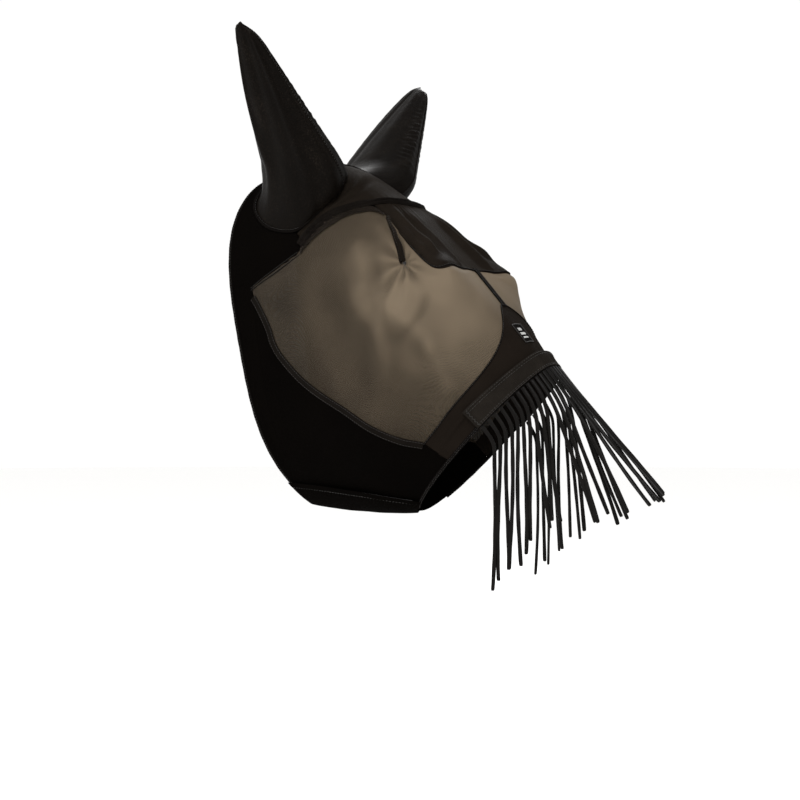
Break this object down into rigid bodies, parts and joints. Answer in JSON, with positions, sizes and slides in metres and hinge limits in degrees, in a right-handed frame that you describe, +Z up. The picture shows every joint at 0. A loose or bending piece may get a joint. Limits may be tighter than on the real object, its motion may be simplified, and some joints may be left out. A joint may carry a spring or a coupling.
{
  "type": "horse fly mask",
  "caption": "Horse fly mask with see-through eye panels, ear covers, a jaw flap with hook-and-loop closure, and a removable nose fringe of hanging strips.",
  "frame": {"origin": "the poll seat, where the mask rests on top of the head between the ears", "axes": "+X forward to the nose, +Y to the left of the horse, +Z up"},
  "size_m": [0.5561, 0.4372, 0.6716],
  "materials": {
    "lycra": "matt black four-way stretch knit",
    "eye_mesh": "see-through fine knitted mesh, warm dark grey",
    "dark_mesh": "denser dark knitted mesh",
    "ear_satin": "fine black mesh cloth with a satin sheen",
    "elastic": "gathered black elastic",
    "binding": "folded black edge binding",
    "tape": "woven dark grey seam tape",
    "hook_tape": "black hook tape",
    "loop_tape": "black loop tape",
    "fringe_cloth": "black webbing",
    "strip": "soft black synthetic leather",
    "badge_thread": "pale grey embroidery thread"
  },
  "bodies": {
    "head_shell": {"crown_panel": "lycra", "poll_panel": "dark_mesh", "forehead_panel": "dark_mesh", "nose_panel": "lycra", "cheek_panel_right": "lycra", "cheek_panel_left": "lycra", "eye_mesh_right": "eye_mesh", "eye_mesh_left": "eye_mesh", "brow_band": "elastic", "centre_tape": "binding", "seam_tape_right": "tape", "seam_tape_left": "tape", "eye_dart_right": "dark_mesh", "eye_dart_left": "dark_mesh", "ear_trim_right": "binding", "ear_trim_left": "binding", "neck_binding": "binding", "nose_binding": "binding", "badge": "badge_thread", "loop_strip": "loop_tape", "fringe_loop_tape": "loop_tape"},
    "right_ear": {"ear_outer_right": "ear_satin", "ear_inner_right": "ear_satin"},
    "left_ear": {"ear_outer_left": "ear_satin", "ear_inner_left": "ear_satin"},
    "chin_closure": {"jaw_flap": "lycra", "hook_strip": "hook_tape"},
    "fringe": {"fringe_band": "fringe_cloth", "fringe_hook_tape": "hook_tape"},
    "strand_01": {"strand_01": "strip"},
    "strand_02": {"strand_02": "strip"},
    "strand_03": {"strand_03": "strip"},
    "strand_04": {"strand_04": "strip"},
    "strand_05": {"strand_05": "strip"},
    "strand_06": {"strand_06": "strip"},
    "strand_07": {"strand_07": "strip"},
    "strand_08": {"strand_08": "strip"},
    "strand_09": {"strand_09": "strip"},
    "strand_10": {"strand_10": "strip"},
    "strand_11": {"strand_11": "strip"},
    "strand_12": {"strand_12": "strip"},
    "strand_13": {"strand_13": "strip"},
    "strand_14": {"strand_14": "strip"},
    "strand_15": {"strand_15": "strip"},
    "strand_16": {"strand_16": "strip"},
    "strand_17": {"strand_17": "strip"},
    "strand_18": {"strand_18": "strip"},
    "strand_19": {"strand_19": "strip"},
    "strand_20": {"strand_20": "strip"},
    "strand_21": {"strand_21": "strip"},
    "strand_22": {"strand_22": "strip"},
    "strand_23": {"strand_23": "strip"},
    "strand_24": {"strand_24": "strip"},
    "strand_25": {"strand_25": "strip"},
    "strand_26": {"strand_26": "strip"},
    "strand_27": {"strand_27": "strip"},
    "strand_28": {"strand_28": "strip"},
    "strand_29": {"strand_29": "strip"},
    "strand_30": {"strand_30": "strip"},
    "strand_31": {"strand_31": "strip"}
  },
  "joints": [
    {"name": "right_ear_tilt", "type": "hinge", "parent": "head_shell", "child": "right_ear", "pos_m": [-0.0216, -0.058, -0.0453], "axis": [0.0408, 0.7887, 0.6135], "range_deg": [-20, 15]},
    {"name": "left_ear_tilt", "type": "hinge", "parent": "head_shell", "child": "left_ear", "pos_m": [-0.0216, 0.058, -0.0453], "axis": [-0.047, 0.744, -0.6666], "range_deg": [-20, 15]},
    {"name": "chin_closure_open", "type": "hinge", "parent": "head_shell", "child": "chin_closure", "pos_m": [0.053, 0.057, -0.405], "axis": [0.9877, 0, -0.1564], "range_deg": [0, 75]},
    {"name": "fringe_pull_off", "type": "slide", "parent": "head_shell", "child": "fringe", "axis": [0.76, 0, 0.65], "range_m": [0, 0.08]},
    {"name": "strand_01_swing", "type": "hinge", "parent": "fringe", "child": "strand_01", "pos_m": [0.2237, -0.0568, -0.3267], "axis": [-0.7478, -0.0564, -0.6615], "range_deg": [0, 45]},
    {"name": "strand_02_swing", "type": "hinge", "parent": "fringe", "child": "strand_02", "pos_m": [0.2318, -0.0562, -0.3187], "axis": [-0.7484, -0.1048, -0.6549], "range_deg": [0, 45]},
    {"name": "strand_03_swing", "type": "hinge", "parent": "fringe", "child": "strand_03", "pos_m": [0.2393, -0.0551, -0.3114], "axis": [-0.7483, -0.1403, -0.6483], "range_deg": [0, 45]},
    {"name": "strand_04_swing", "type": "hinge", "parent": "fringe", "child": "strand_04", "pos_m": [0.2464, -0.0537, -0.3045], "axis": [-0.7443, -0.1782, -0.6436], "range_deg": [0, 45]},
    {"name": "strand_05_swing", "type": "hinge", "parent": "fringe", "child": "strand_05", "pos_m": [0.2531, -0.052, -0.2981], "axis": [-0.7362, -0.2204, -0.6399], "range_deg": [0, 45]},
    {"name": "strand_06_swing", "type": "hinge", "parent": "fringe", "child": "strand_06", "pos_m": [0.2594, -0.05, -0.2921], "axis": [-0.7232, -0.2682, -0.6365], "range_deg": [0, 45]},
    {"name": "strand_07_swing", "type": "hinge", "parent": "fringe", "child": "strand_07", "pos_m": [0.2652, -0.0477, -0.2864], "axis": [-0.7037, -0.3231, -0.6327], "range_deg": [0, 45]},
    {"name": "strand_08_swing", "type": "hinge", "parent": "fringe", "child": "strand_08", "pos_m": [0.2705, -0.045, -0.2812], "axis": [-0.6759, -0.3867, -0.6274], "range_deg": [0, 45]},
    {"name": "strand_09_swing", "type": "hinge", "parent": "fringe", "child": "strand_09", "pos_m": [0.2753, -0.0419, -0.2764], "axis": [-0.6377, -0.4597, -0.618], "range_deg": [0, 45]},
    {"name": "strand_10_swing", "type": "hinge", "parent": "fringe", "child": "strand_10", "pos_m": [0.2795, -0.0384, -0.272], "axis": [-0.5873, -0.542, -0.6011], "range_deg": [0, 45]},
    {"name": "strand_11_swing", "type": "hinge", "parent": "fringe", "child": "strand_11", "pos_m": [0.2832, -0.0345, -0.268], "axis": [-0.5234, -0.6318, -0.5717], "range_deg": [0, 45]},
    {"name": "strand_12_swing", "type": "hinge", "parent": "fringe", "child": "strand_12", "pos_m": [0.2863, -0.0302, -0.2645], "axis": [-0.4454, -0.7252, -0.5251], "range_deg": [0, 45]},
    {"name": "strand_13_swing", "type": "hinge", "parent": "fringe", "child": "strand_13", "pos_m": [0.2888, -0.0255, -0.2615], "axis": [-0.3546, -0.8156, -0.4573], "range_deg": [0, 45]},
    {"name": "strand_14_swing", "type": "hinge", "parent": "fringe", "child": "strand_14", "pos_m": [0.2908, -0.0203, -0.2591], "axis": [-0.2539, -0.8948, -0.3673], "range_deg": [0, 45]},
    {"name": "strand_15_swing", "type": "hinge", "parent": "fringe", "child": "strand_15", "pos_m": [0.2921, -0.0147, -0.2572], "axis": [-0.1498, -0.9544, -0.2581], "range_deg": [0, 45]},
    {"name": "strand_16_swing", "type": "hinge", "parent": "fringe", "child": "strand_16", "pos_m": [0.2928, -0.0086, -0.2561], "axis": [-0.0525, -0.9891, -0.1375], "range_deg": [0, 45]},
    {"name": "strand_17_swing", "type": "hinge", "parent": "fringe", "child": "strand_17", "pos_m": [0.2929, -0.0017, -0.2556], "axis": [0.0129, -0.9997, -0.0192], "range_deg": [0, 45]},
    {"name": "strand_18_swing", "type": "hinge", "parent": "fringe", "child": "strand_18", "pos_m": [0.2929, 0.0065, -0.2559], "axis": [0.0244, -0.995, 0.0966], "range_deg": [0, 45]},
    {"name": "strand_19_swing", "type": "hinge", "parent": "fringe", "child": "strand_19", "pos_m": [0.2924, 0.0127, -0.2568], "axis": [0.1159, -0.9689, 0.2187], "range_deg": [0, 45]},
    {"name": "strand_20_swing", "type": "hinge", "parent": "fringe", "child": "strand_20", "pos_m": [0.2913, 0.0185, -0.2584], "axis": [0.2192, -0.9172, 0.3327], "range_deg": [0, 45]},
    {"name": "strand_21_swing", "type": "hinge", "parent": "fringe", "child": "strand_21", "pos_m": [0.2892, 0.0247, -0.2611], "axis": [0.3383, -0.8298, 0.4438], "range_deg": [0, 45]},
    {"name": "strand_22_swing", "type": "hinge", "parent": "fringe", "child": "strand_22", "pos_m": [0.2863, 0.0302, -0.2645], "axis": [0.4454, -0.7252, 0.5251], "range_deg": [0, 45]},
    {"name": "strand_23_swing", "type": "hinge", "parent": "fringe", "child": "strand_23", "pos_m": [0.2826, 0.0352, -0.2687], "axis": [0.535, -0.6165, 0.5777], "range_deg": [0, 45]},
    {"name": "strand_24_swing", "type": "hinge", "parent": "fringe", "child": "strand_24", "pos_m": [0.2782, 0.0396, -0.2734], "axis": [0.6056, -0.5136, 0.6079], "range_deg": [0, 45]},
    {"name": "strand_25_swing", "type": "hinge", "parent": "fringe", "child": "strand_25", "pos_m": [0.273, 0.0435, -0.2788], "axis": [0.6582, -0.422, 0.6234], "range_deg": [0, 45]},
    {"name": "strand_26_swing", "type": "hinge", "parent": "fringe", "child": "strand_26", "pos_m": [0.267, 0.0468, -0.2847], "axis": [0.6955, -0.3433, 0.6312], "range_deg": [0, 45]},
    {"name": "strand_27_swing", "type": "hinge", "parent": "fringe", "child": "strand_27", "pos_m": [0.2604, 0.0496, -0.2911], "axis": [0.7204, -0.2768, 0.6359], "range_deg": [0, 45]},
    {"name": "strand_28_swing", "type": "hinge", "parent": "fringe", "child": "strand_28", "pos_m": [0.2531, 0.052, -0.2981], "axis": [0.7362, -0.2204, 0.6399], "range_deg": [0, 45]},
    {"name": "strand_29_swing", "type": "hinge", "parent": "fringe", "child": "strand_29", "pos_m": [0.2453, 0.054, -0.3056], "axis": [0.7452, -0.1717, 0.6443], "range_deg": [0, 45]},
    {"name": "strand_30_swing", "type": "hinge", "parent": "fringe", "child": "strand_30", "pos_m": [0.2369, 0.0555, -0.3138], "axis": [0.7488, -0.1282, 0.6503], "range_deg": [0, 45]},
    {"name": "strand_31_swing", "type": "hinge", "parent": "fringe", "child": "strand_31", "pos_m": [0.2278, 0.0566, -0.3226], "axis": [0.7489, -0.0806, 0.6577], "range_deg": [0, 45]}
  ]
}
